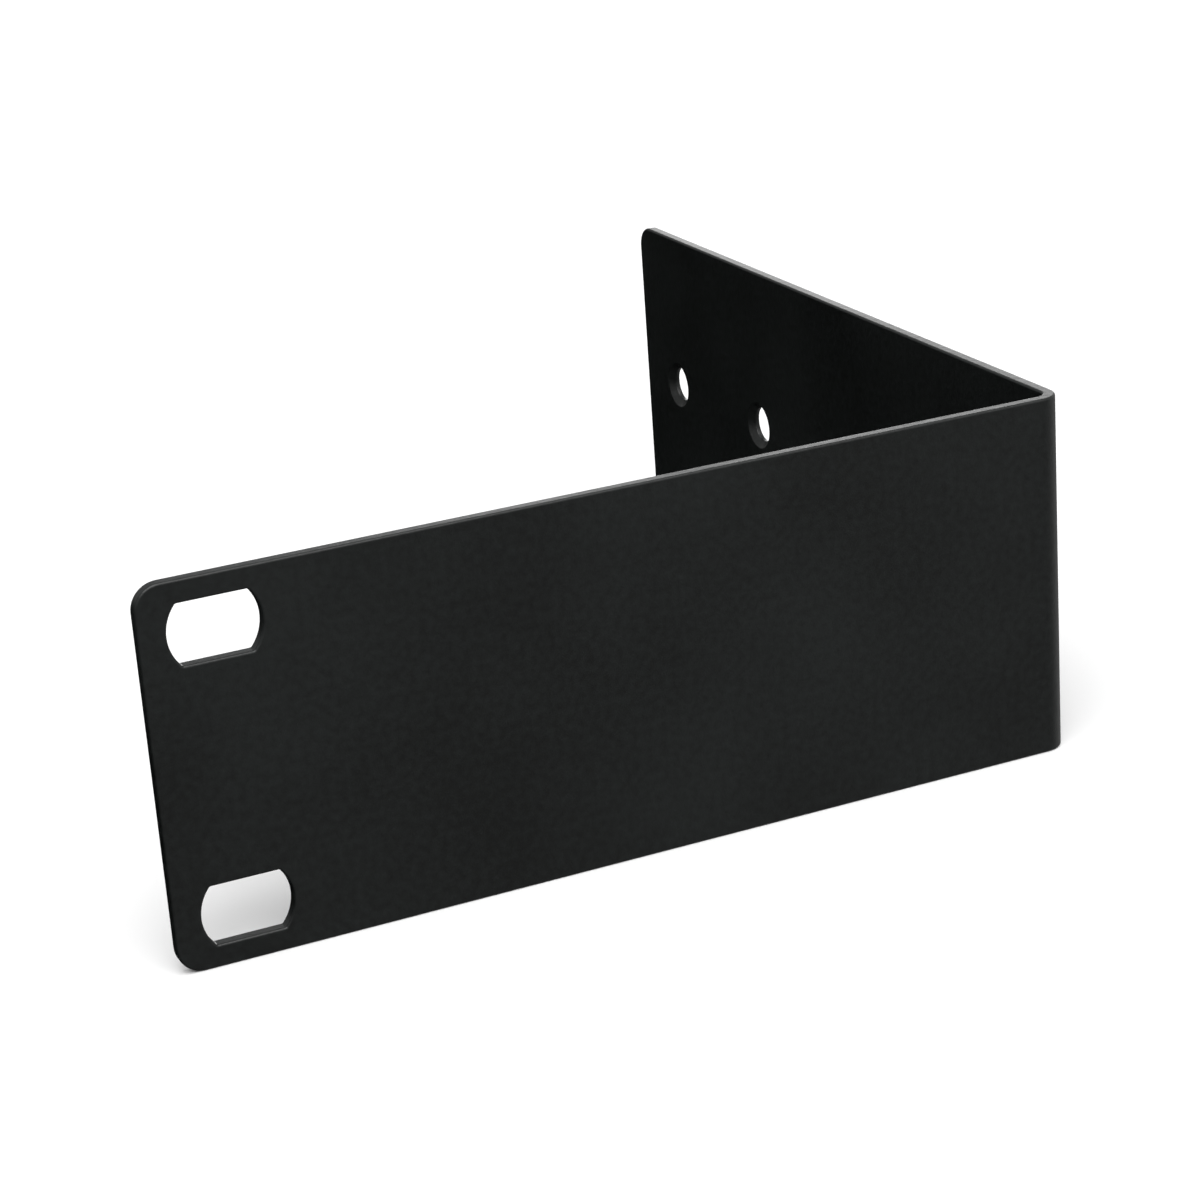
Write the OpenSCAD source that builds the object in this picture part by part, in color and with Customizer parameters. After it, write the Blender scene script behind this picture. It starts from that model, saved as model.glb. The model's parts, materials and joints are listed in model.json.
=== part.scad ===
// Rack mount ear bracket: one sheet of steel, punched flat and folded once into an L.
// The face stands across the front, with the rack slots at its free edge. The flange runs
// back from the fold, along the side of the equipment, and has a row of countersunk holes.
// Looking from the front, X is to the right, Y is to the back and Z is up. The origin is in
// the middle of the L's footprint, on the surface that its lower edges stand on.

/* [Sheet] */
// Thickness of the sheet
sheet_t = 1.5; // [1:0.1:2.5]
// Inside radius of the fold
fold_r = 1.5; // [0.5:0.1:3]
// Radius of the four free corners
corner_r = 3; // [0.5:0.1:4]

/* [Legs] */
// Height in rack units
rack_units = 1; // [1:1:4]
// Width of the face, from its free edge to the outside of the flange
face_w = 111; // [60:1:160]
// Depth of the flange, from the front of the face to its free end
flange_d = 110; // [40:1:160]

/* [Rack slots] */
// Length of a slot, across its round ends
slot_l = 10.3; // [8:0.1:12]
// Height of a slot, between its flats
slot_h = 6.8; // [6:0.1:7.5]
// Centre of the slots from the free edge
slot_inset = 8.3; // [8:0.1:10]

/* [Side holes] */
// Diameter of a side hole
hole_d = 4.7; // [3:0.1:7]
// Distance between side holes
hole_pitch = 25; // [15:1:40]
// Centre of the last side hole from the free end of the flange
hole_inset = 10; // [8:0.5:15]
// Depth of a hole's countersink, for a screw put in from inside the L
sink_depth = 0.85; // [0.1:0.05:0.9]

/* [Hidden] */
// A rack unit, and how much less than its units a panel measures
unit_h = 44.45;
panel_gap = 0.75;
// Height of a unit's lower rack hole in that unit, and the distance up to its upper one
first_hole_z = 6.35;
hole_pair_h = 31.75;
// Room that the fold and the first side hole need behind the face
fold_room = sheet_t + fold_r + hole_d;

height = rack_units * unit_h - panel_gap;
outer_r = fold_r + sheet_t;
holes = floor((flange_d - hole_inset - fold_room) / hole_pitch) + 1;
left = -face_w / 2;
right = face_w / 2;
front = -flange_d / 2;
back = flange_d / 2;
// How far a cutter runs past a surface
over = 1;

$fn = 96;

// A flat leg of the L, drawn from its free end, with that end's two corners rounded
module leg_outline(length) {
    difference() {
        square([length, height]);
        corner_waste();
        translate([0, height]) mirror([0, 1]) corner_waste();
    }
}

// What the punch takes off a square corner at the origin
module corner_waste() {
    difference() {
        translate([-over, -over]) square(corner_r + over);
        translate([corner_r, corner_r]) circle(r = corner_r);
    }
}

// The front leg, up to where the fold starts
module face_leg() {
    translate([left, front + sheet_t, 0]) rotate([90, 0, 0])
        linear_extrude(sheet_t) leg_outline(face_w - outer_r);
}

// The side leg, up to where the fold ends
module flange_leg() {
    translate([right - sheet_t, back, 0]) rotate([90, 0, -90]) mirror([0, 0, 1])
        linear_extrude(sheet_t) leg_outline(flange_d - outer_r);
}

// The quarter turn of sheet between the legs
module fold() {
    translate([right - outer_r, front + outer_r, 0])
        linear_extrude(height) intersection() {
            difference() {
                circle(r = outer_r);
                circle(r = fold_r);
            }
            translate([0, -outer_r]) square(outer_r);
        }
}

// A rack slot: a round hole narrowed by a flat above and a flat below
module slot_cutter() {
    intersection() {
        rotate([-90, 0, 0]) cylinder(d = slot_l, h = sheet_t + 2 * over);
        translate([-slot_l, -over, -slot_h / 2])
            cube([2 * slot_l, sheet_t + 4 * over, slot_h]);
    }
}

// Two slots for each rack unit, where the rack's holes are
module rack_slots() {
    for (unit = [0 : rack_units - 1], upper = [0, 1])
        translate([
            left + slot_inset,
            front - over,
            unit * unit_h + first_hole_z - panel_gap / 2 + upper * hole_pair_h
        ]) slot_cutter();
}

// A side hole, up through the sheet from its inner side, with a 90 degree countersink there
module side_hole_cutter() {
    translate([0, 0, -over]) {
        cylinder(d = hole_d, h = sheet_t + 2 * over);
        cylinder(
            d1 = hole_d + 2 * (sink_depth + over),
            d2 = hole_d,
            h = sink_depth + over
        );
    }
}

// A row of holes along the flange for each rack unit, half-way up that unit
module side_holes() {
    for (unit = [0 : rack_units - 1], i = [0 : holes - 1])
        translate([
            right - sheet_t,
            back - hole_inset - i * hole_pitch,
            (unit + 0.5) * unit_h - panel_gap / 2
        ]) rotate([0, 90, 0]) side_hole_cutter();
}

module ear_bracket() {
    color("#212224") difference() {
        union() {
            face_leg();
            fold();
            flange_leg();
        }
        rack_slots();
        side_holes();
    }
}

ear_bracket();
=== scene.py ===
import json
import math
from itertools import accumulate, pairwise

import bmesh
import bpy
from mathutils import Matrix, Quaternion, Vector
from mathutils.geometry import delaunay_2d_cdt


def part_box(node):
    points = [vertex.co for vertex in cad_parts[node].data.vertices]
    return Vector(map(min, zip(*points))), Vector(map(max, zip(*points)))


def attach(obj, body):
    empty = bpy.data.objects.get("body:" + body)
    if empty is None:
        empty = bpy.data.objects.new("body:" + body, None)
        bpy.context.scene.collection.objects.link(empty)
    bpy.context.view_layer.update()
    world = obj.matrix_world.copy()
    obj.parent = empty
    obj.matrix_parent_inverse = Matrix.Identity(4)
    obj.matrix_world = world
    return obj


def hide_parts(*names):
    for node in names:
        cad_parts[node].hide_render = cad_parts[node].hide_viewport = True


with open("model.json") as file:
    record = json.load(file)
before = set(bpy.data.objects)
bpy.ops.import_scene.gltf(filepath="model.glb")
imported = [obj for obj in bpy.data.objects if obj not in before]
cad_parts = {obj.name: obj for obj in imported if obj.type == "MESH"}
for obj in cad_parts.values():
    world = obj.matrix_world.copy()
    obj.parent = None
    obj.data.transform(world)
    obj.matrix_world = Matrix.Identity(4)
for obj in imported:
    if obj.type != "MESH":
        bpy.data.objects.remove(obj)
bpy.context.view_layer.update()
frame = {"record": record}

NODE = "ear_bracket"
MM = 0.001
QUARTER = math.pi / 2

# ---- Sizes, in metres -----------------------------------------------------

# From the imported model
LOW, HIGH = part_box(NODE)
MOUNTS = {mount["name"]: mount for mount in frame["record"]["mounts"]}
HEIGHT = HIGH.z - LOW.z
SHEET_T = MOUNTS["rail_face"]["pos_m"][1] - LOW.y

SLOT_L = MOUNTS["rack_slots"]["dims"]["slot_length_mm"] * MM
SLOT_H = MOUNTS["rack_slots"]["dims"]["hole_r_mm"] * MM * 2

# The same as in the part's source
FOLD_R = 1.5 * MM
CORNER_R = 3.0 * MM
SINK_DEPTH = 0.85 * MM

# How far the punch and the coat round off an edge of the sheet, and a corner of a slot
EDGE_R = 0.3 * MM
SLOT_CORNER_R = 0.3 * MM

# The sheet unrolled: u runs along its outer side from the face's free edge, and v runs up
OUTER_R = FOLD_R + SHEET_T
FACE_LENGTH = HIGH.x - LOW.x - OUTER_R
FOLD_LENGTH = OUTER_R * QUARTER
FLANGE_LENGTH = HIGH.y - LOW.y - OUTER_R
FOLD_END = FACE_LENGTH + FOLD_LENGTH
BLANK_LENGTH = FOLD_END + FLANGE_LENGTH

# The spacing of points on the flats and straight edges, and how far they keep from a hole
GRID = 4 * MM
GRID_GAP = 1 * MM

# The steps in about a quarter turn, of each kind of arc
EDGE_STEPS = 4
CORNER_STEPS = 12
HOLE_STEPS = 16
FOLD_STEPS = 16

# Points closer together than this are the same point
TINY = 0.001 * MM

# Which way an outline's arcs face out of the sheet: away from their centre, or towards it
RIM, HOLE = 1, -1

# The first and the last step of an edge's profile, on the two sides of the sheet
OUTER, INNER = 0, -1

# What delaunay_2d_cdt is asked for: triangles inside the loops
WITHIN_LOOPS = 1


# ---- Outlines of the unrolled sheet ---------------------------------------
# An outline is a list of (place, outward): a point on the sheet's edge, and the direction
# out of the sheet there.

def arc(centre, radius, start, end, steps, facing):
    """The part of an outline that runs round an arc."""
    angles = [start + (end - start) * i / steps for i in range(steps + 1)]
    radials = [Vector((math.cos(angle), math.sin(angle))) for angle in angles]
    return [(centre + radius * radial, facing * radial) for radial in radials]


def without_repeats(outline):
    """The outline, less each point that lies on the one before it."""
    return [
        point for i, point in enumerate(outline)
        if (point[0] - outline[i - 1][0]).length > TINY
    ]


def spaced(start, end):
    """Evenly spaced values between two ends, about GRID apart, without the ends."""
    steps = round(abs(end - start) / GRID)
    return [start + (end - start) * i / steps for i in range(1, steps)]


def rim_corner(u, v, quarter):
    """A rounded free corner, centred on (u, v). Quarter 0 faces right and up, 1 left and up."""
    start = quarter * QUARTER
    return arc(Vector((u, v)), CORNER_R, start, start + QUARTER, CORNER_STEPS, RIM)


def rim_outline():
    """The sheet's outer edge, with a point at each line that the fold bends along."""
    left, right = CORNER_R, BLANK_LENGTH - CORNER_R
    low, high = CORNER_R, HEIGHT - CORNER_R
    bends = [FACE_LENGTH + FOLD_LENGTH * i / FOLD_STEPS for i in range(FOLD_STEPS + 1)]
    across = spaced(left, FACE_LENGTH) + bends + spaced(FOLD_END, right)
    up = spaced(low, high)
    return (
        rim_corner(left, low, 2)
        + [(Vector((u, 0)), Vector((0, -1))) for u in across]
        + rim_corner(right, low, 3)
        + [(Vector((BLANK_LENGTH, v)), Vector((1, 0))) for v in up]
        + rim_corner(right, high, 0)
        + [(Vector((u, HEIGHT)), Vector((0, 1))) for u in reversed(across)]
        + rim_corner(left, high, 1)
        + [(Vector((0, v)), Vector((-1, 0))) for v in reversed(up)]
    )


def hole_outline(centre, radius):
    """A round hole."""
    return without_repeats(arc(centre, radius, 0, 4 * QUARTER, 4 * HOLE_STEPS, HOLE))


def slot_outline(centre):
    """A round hole between two flats, with a small radius where they meet."""
    flat = SLOT_H / 2 - SLOT_CORNER_R
    side = math.sqrt((SLOT_L / 2 - SLOT_CORNER_R) ** 2 - flat**2)
    swing = math.atan2(flat, side)
    outline = []
    for way, turn in ((1, 0), (-1, 2 * QUARTER)):
        near = centre + way * Vector((side, flat))
        far = centre + way * Vector((-side, flat))
        upright = turn + QUARTER
        outline += arc(centre, SLOT_L / 2, turn - swing, turn + swing, HOLE_STEPS, HOLE)
        outline += arc(near, SLOT_CORNER_R, turn + swing, upright, EDGE_STEPS, HOLE)
        outline += arc(far, SLOT_CORNER_R, upright, upright + QUARTER - swing, EDGE_STEPS, HOLE)
    return without_repeats(outline)


def rack_slots():
    """The slots at the face's free edge, one above the other."""
    mount = MOUNTS["rack_slots"]
    u, v = mount["pos_m"][0] - LOW.x, mount["pos_m"][2] - LOW.z
    half = mount["dims"]["spacing_y_mm"] * MM / 2
    return [slot_outline(Vector((u, v + half * side))) for side in (-1, 1)]


def side_holes():
    """The row of screw holes along the flange, as two pairs about one centre."""
    outlines = []
    for name in ("side_holes_outer_pair", "side_holes_inner_pair"):
        mount = MOUNTS[name]
        u = FOLD_END + mount["pos_m"][1] - (LOW.y + OUTER_R)
        v = mount["pos_m"][2] - LOW.z
        half = mount["dims"]["spacing_x_mm"] * MM / 2
        radius = mount["dims"]["hole_r_mm"] * MM
        outlines += [hole_outline(Vector((u + half * side, v)), radius) for side in (-1, 1)]
    return outlines


# ---- The folded sheet -----------------------------------------------------

def folded(u, v, depth):
    """Where a point of the unrolled sheet goes: its place, and the directions along and into
    the sheet there. Depth is counted from the outer side."""
    past = u - FACE_LENGTH
    turn = min(max(past, 0), FOLD_LENGTH) / OUTER_R
    straight = min(past, 0) + max(past - FOLD_LENGTH, 0)
    along = Vector((math.cos(turn), math.sin(turn), 0))
    into = Vector((-math.sin(turn), math.cos(turn), 0))
    centre = Vector((HIGH.x - OUTER_R, LOW.y + OUTER_R, LOW.z + v))
    return centre + along * straight - into * (OUTER_R - depth), along, into


# An edge's profile runs from the outer side to the inner side. Each of its steps tells how far
# it lies in from the edge, its depth, and the shares of its surface direction out of the edge
# and inwards.

def rounding(inset, depth, start, end):
    """The steps round an arc, about a centre given by its inset and depth."""
    steps = round(EDGE_STEPS * (end - start) / QUARTER)
    turns = [start + (end - start) * i / steps for i in range(steps + 1)]
    return [
        (inset - EDGE_R * math.cos(t), depth + EDGE_R * math.sin(t), math.cos(t), math.sin(t))
        for t in turns
    ]


def plain_edge():
    return (
        rounding(EDGE_R, EDGE_R, -QUARTER, 0)
        + rounding(EDGE_R, SHEET_T - EDGE_R, 0, QUARTER)
    )


def countersunk_edge():
    """A straight wall, then a cone that opens to the inner side. The two roundings that touch
    the cone turn by half a quarter each, and reach equally far along it."""
    reach = EDGE_R * math.tan(QUARTER / 4)
    return (
        rounding(EDGE_R, EDGE_R, -QUARTER, 0)
        + rounding(EDGE_R, SHEET_T - SINK_DEPTH - reach, 0, QUARTER / 2)
        + rounding(SINK_DEPTH + reach, SHEET_T - EDGE_R, QUARTER / 2, QUARTER)
    )


def grid_inside(rim, holes):
    """Places on a square grid inside a rim, clear of the circle round each hole."""
    circles = []
    for hole in holes:
        centre = sum((place for _, place in hole), Vector((0, 0))) / len(hole)
        reach = max((place - centre).length for _, place in hole)
        circles.append((centre, reach + GRID_GAP))
    across, up = ([place[axis] for _, place in rim] for axis in (0, 1))
    places = [
        Vector((u, v)) for u in spaced(min(across), max(across)) for v in spaced(min(up), max(up))
    ]
    return [
        place for place in places
        if all((place - centre).length > reach for centre, reach in circles)
    ]


class Sheet:
    """The folded sheet's points, the direction that its surface faces at each, and its faces."""

    def __init__(self):
        self.points = []
        self.normals = []
        self.faces = []

    def add_point(self, place, outward, step):
        """The point of the surface at one step of the edge's profile, or at a place on a flat,
        where outward is zero. Gives its index."""
        inset, depth, out, inward = step
        u, v = place - outward * inset
        point, along, into = folded(u, v, depth)
        sideways = along * outward.x + Vector((0, 0, outward.y))
        self.points.append(point)
        self.normals.append(sideways * out + into * inward)
        return len(self.points) - 1

    def add_edge(self, outline, profile):
        """The edge's wall round an outline. Gives its outer and inner rings, as lists of
        (index, place on the unrolled sheet)."""
        rings = [
            [self.add_point(place, outward, step) for place, outward in outline]
            for step in profile
        ]
        for near, far in zip(rings, rings[1:]):
            self.faces += [
                [near[i], near[i - 1], far[i - 1], far[i]] for i in range(len(outline))
            ]
        return [
            [(index, place - outward * profile[side][0])
             for index, (place, outward) in zip(rings[side], outline)]
            for side in (OUTER, INNER)
        ]

    def add_flat(self, rim, holes, side):
        """A flat stretch of one side of the sheet, inside a rim and round its holes."""
        step = plain_edge()[side]
        grid = [
            (self.add_point(place, Vector((0, 0)), step), place)
            for place in grid_inside(rim, holes)
        ]
        points = rim + [point for hole in holes for point in hole] + grid
        ends = list(accumulate((len(loop) for loop in [rim, *holes]), initial=0))
        loops = [list(range(start, end)) for start, end in pairwise(ends)]
        places = [place for _, place in points]
        _, _, triangles, origins, _, covers = delaunay_2d_cdt(
            places, [], loops, WITHIN_LOOPS, TINY
        )
        # Where the rim is the only loop round a triangle, there is sheet and no hole
        self.faces += [
            [points[origins[i][0]][0] for i in triangle]
            for triangle, cover in zip(triangles, covers) if cover == [0]
        ]

    def add_fold(self, rim):
        """The strips of one side round the fold, between the sheet's lower and upper edges."""
        lower = [index for index, place in rim if place.y < HEIGHT / 2]
        upper = [index for index, place in rim if place.y > HEIGHT / 2][::-1]
        self.faces += [
            [lower[i], lower[i + 1], upper[i + 1], upper[i]] for i in range(FOLD_STEPS)
        ]


def build_sheet():
    sheet = Sheet()
    rims = sheet.add_edge(rim_outline(), plain_edge())
    slots = [sheet.add_edge(outline, plain_edge()) for outline in rack_slots()]
    holes = [sheet.add_edge(outline, countersunk_edge()) for outline in side_holes()]
    for side in (OUTER, INNER):
        rim = rims[side]
        face = [point for point in rim if point[1].x < FACE_LENGTH + TINY]
        fold = [point for point in rim if FACE_LENGTH - TINY < point[1].x < FOLD_END + TINY]
        flange = [point for point in rim if point[1].x > FOLD_END - TINY]
        sheet.add_flat(face, [slot[side] for slot in slots], side)
        sheet.add_fold(fold)
        sheet.add_flat(flange, [hole[side] for hole in holes], side)
    return sheet


def turn_faces_outwards(mesh):
    solid = bmesh.new()
    solid.from_mesh(mesh)
    bmesh.ops.recalc_face_normals(solid, faces=solid.faces)
    solid.to_mesh(mesh)
    solid.free()


def add_bracket():
    sheet = build_sheet()
    mesh = bpy.data.meshes.new("coated_bracket")
    mesh.from_pydata(sheet.points, [], sheet.faces)
    turn_faces_outwards(mesh)
    mesh.shade_smooth()
    mesh.normals_split_custom_set_from_vertices(sheet.normals)
    bracket = bpy.data.objects.new("coated_bracket", mesh)
    bpy.context.scene.collection.objects.link(bracket)
    return bracket


# ---- Powder coat ----------------------------------------------------------

# The coat's unevenness: the size of each kind's features and the number of finer layers on
# them, and how far two of the kinds stand out
DRIFT = (28 * MM, 2)
PEEL = (0.9 * MM, 1)
GRAIN = (0.30 * MM, 2)
PEEL_HEIGHT = 0.030 * MM
GRAIN_HEIGHT = 0.016 * MM

# The darkest and lightest colour, and the lowest and highest roughness, each with the stretch
# of noise that it spreads over
DARK = (0.0018, 0.0025, 0.0022, 1)
LIGHT = (0.0058, 0.0077, 0.0073, 1)
TONE_SPREAD = (0.35, 0.65)
GLOSS = (0.36, 0.42)
GLOSS_SPREAD = (0.3, 0.7)


class Nodes:
    """Short ways to add and link nodes in one tree."""

    def __init__(self, tree):
        self.tree = tree
        tree.nodes.clear()

    def add(self, kind, label, inputs=None, **settings):
        node = self.tree.nodes.new(kind)
        node.label = label
        for name, value in settings.items():
            setattr(node, name, value)
        for name, value in (inputs or {}).items():
            self.feed(node.inputs[name], value)
        return node

    def feed(self, socket, value):
        if isinstance(value, bpy.types.NodeSocket):
            self.tree.links.new(value, socket)
        else:
            socket.default_value = value

    def ramp(self, label, value, spread, results, **settings):
        """Turns one stretch of values into another, and holds them at its ends."""
        limits = dict(zip(("From Min", "From Max", "To Min", "To Max"), spread + results))
        node = self.add("ShaderNodeMapRange", label, {"Value": value, **limits}, **settings)
        return node.outputs["Result"]


def powder_coat():
    """Smooth satin black: a faint orange peel with a fine grain on it, and broad, slight
    changes in tone and gloss from the spraying."""
    material = bpy.data.materials.new("powder_coat")
    material.use_nodes = True
    nodes = Nodes(material.node_tree)
    place = nodes.add("ShaderNodeTexCoord", "place").outputs["Object"]

    def noise(label, size, layers):
        return nodes.add(
            "ShaderNodeTexNoise", label, {"Vector": place, "Scale": 1 / size, "Detail": layers}
        ).outputs["Fac"]

    drift = noise("spray drift", *DRIFT)
    peel = noise("orange peel", *PEEL)
    grain = noise("grain", *GRAIN)

    mottle = nodes.add("ShaderNodeMix", "half drift, half peel", {"A": drift, "B": peel})
    patches = nodes.ramp("patches", mottle.outputs["Result"], TONE_SPREAD, (0, 1))
    tone = nodes.add(
        "ShaderNodeMix", "tone", {"Factor": patches, "A": DARK, "B": LIGHT}, data_type="RGBA"
    )
    peel_bump = nodes.add(
        "ShaderNodeBump", "orange peel bump", {"Height": peel, "Distance": PEEL_HEIGHT}
    )
    grain_bump = nodes.add(
        "ShaderNodeBump", "grain bump",
        {"Height": grain, "Distance": GRAIN_HEIGHT, "Normal": peel_bump.outputs["Normal"]},
    )
    coat = nodes.add(
        "ShaderNodeBsdfPrincipled", "coat",
        {
            "Base Color": tone.outputs["Result"],
            "Roughness": nodes.ramp("gloss", drift, GLOSS_SPREAD, GLOSS),
            "IOR": 1.5,
            "Normal": grain_bump.outputs["Normal"],
        },
    )
    nodes.add("ShaderNodeOutputMaterial", "out", {"Surface": coat.outputs["BSDF"]})
    return material


# ---- Floor, light and camera ----------------------------------------------

MIDDLE = (LOW + HIGH) / 2

FLOOR_R = 6.0
FLOOR_STEPS = 64
FLOOR_TONE = (0.90, 0.90, 0.90, 1)

# How bright the sky is, and the heights where it begins and is at its full (0 is the horizon
# and 1 straight up)
SKY_BRIGHTNESS = 0.4
SKY_SPREAD = (-0.04, 0.10)

# The dim glows below the horizon: where each is, how close to it a direction has to come to
# see it at all (as the cosine of the angle between them), and how bright its middle is
GLOWS = {
    "front glow": (Vector((0.60, -0.72, -0.35)), -0.4, 0.22),
    "back glow": (Vector((0.85, 0.45, -0.28)), 0.5, 0.28),
}

# The lights: their kind, place from the bracket's middle, power, and the angle or side that
# they fill
LIGHTS = {
    "key": ("SUN", Vector((-0.15, -0.44, 1.0)), 3.0, {"angle": math.radians(60)}),
    "softbox": ("AREA", Vector((0.70, 1.1, 0.20)), 3.1, {"size": 0.6}),
}

# The camera stands in front of the bracket's middle, turned to the left and raised, and aims
# at a point in the plane of the face
CAMERA_TURN, CAMERA_RISE, CAMERA_ROLL = (math.radians(angle) for angle in (20.6, 18.7, -4.1))
CAMERA_DISTANCE = 0.380
CAMERA_AIM = Vector((MIDDLE.x - 4.2 * MM, LOW.y, LOW.z + 31.5 * MM))
LENS_MM, SENSOR_MM = 90.6, 36


def add_floor():
    mesh = bpy.data.meshes.new("floor")
    turns = [4 * QUARTER * i / FLOOR_STEPS for i in range(FLOOR_STEPS)]
    rim = [(FLOOR_R * math.cos(t), FLOOR_R * math.sin(t), LOW.z) for t in turns]
    mesh.from_pydata(rim, [], [list(range(FLOOR_STEPS))])
    floor = bpy.data.objects.new("floor", mesh)
    bpy.context.scene.collection.objects.link(floor)
    material = bpy.data.materials.new("pale_floor")
    material.use_nodes = True
    nodes = Nodes(material.node_tree)
    paper = nodes.add("ShaderNodeBsdfDiffuse", "paper", {"Color": FLOOR_TONE})
    nodes.add("ShaderNodeOutputMaterial", "out", {"Surface": paper.outputs["BSDF"]})
    mesh.materials.append(material)
    floor.visible_glossy = False
    return floor


def light_world():
    """A white sky that fades out below the horizon, with the glows added to it."""
    world = bpy.data.worlds.new("studio")
    bpy.context.scene.world = world
    world.use_nodes = True
    nodes = Nodes(world.node_tree)
    direction = nodes.add("ShaderNodeTexCoord", "direction").outputs["Generated"]

    def soft_ramp(label, value, spread, brightness):
        return nodes.ramp(label, value, spread, (0, brightness), interpolation_type="SMOOTHSTEP")

    height = nodes.add("ShaderNodeSeparateXYZ", "height", {"Vector": direction}).outputs["Z"]
    total = soft_ramp("sky", height, SKY_SPREAD, SKY_BRIGHTNESS)
    for label, (middle, start, brightness) in GLOWS.items():
        towards = nodes.add("ShaderNodeVectorMath", f"towards {label}", operation="DOT_PRODUCT")
        nodes.feed(towards.inputs[0], direction)
        nodes.feed(towards.inputs[1], middle.normalized())
        glow = soft_ramp(label, towards.outputs["Value"], (start, 1), brightness)
        added = nodes.add("ShaderNodeMath", f"with {label}", operation="ADD")
        nodes.feed(added.inputs[0], total)
        nodes.feed(added.inputs[1], glow)
        total = added.outputs["Value"]
    back = nodes.add(
        "ShaderNodeBackground", "light", {"Color": (1, 1, 1, 1), "Strength": total}
    )
    nodes.add("ShaderNodeOutputWorld", "out", {"Surface": back.outputs["Background"]})


def add_lights():
    """The lights, each facing the bracket."""
    for name, (kind, place, power, settings) in LIGHTS.items():
        light = bpy.data.lights.new(name, kind)
        light.energy = power
        for setting, value in settings.items():
            setattr(light, setting, value)
        lamp = bpy.data.objects.new(name, light)
        lamp.location = MIDDLE + place
        lamp.rotation_mode = "QUATERNION"
        lamp.rotation_quaternion = place.to_track_quat("Z", "Y")
        bpy.context.scene.collection.objects.link(lamp)


def add_camera():
    camera = bpy.data.objects.new("camera", bpy.data.cameras.new("camera"))
    camera.data.lens = LENS_MM
    camera.data.sensor_width = SENSOR_MM
    back = Vector((
        -math.sin(CAMERA_TURN) * math.cos(CAMERA_RISE),
        -math.cos(CAMERA_TURN) * math.cos(CAMERA_RISE),
        math.sin(CAMERA_RISE),
    ))
    camera.location = MIDDLE + back * CAMERA_DISTANCE
    look = (camera.location - CAMERA_AIM).to_track_quat("Z", "Y")
    camera.rotation_mode = "QUATERNION"
    camera.rotation_quaternion = look @ Quaternion((0, 0, 1), CAMERA_ROLL)
    bpy.context.scene.collection.objects.link(camera)
    bpy.context.scene.camera = camera


# ---- The scene ------------------------------------------------------------

add_camera()
light_world()
add_lights()
bpy.context.scene.view_settings.view_transform = "Standard"

add_floor()

bracket = add_bracket()
bracket.data.materials.append(powder_coat())
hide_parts(NODE)
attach(bracket, "root")
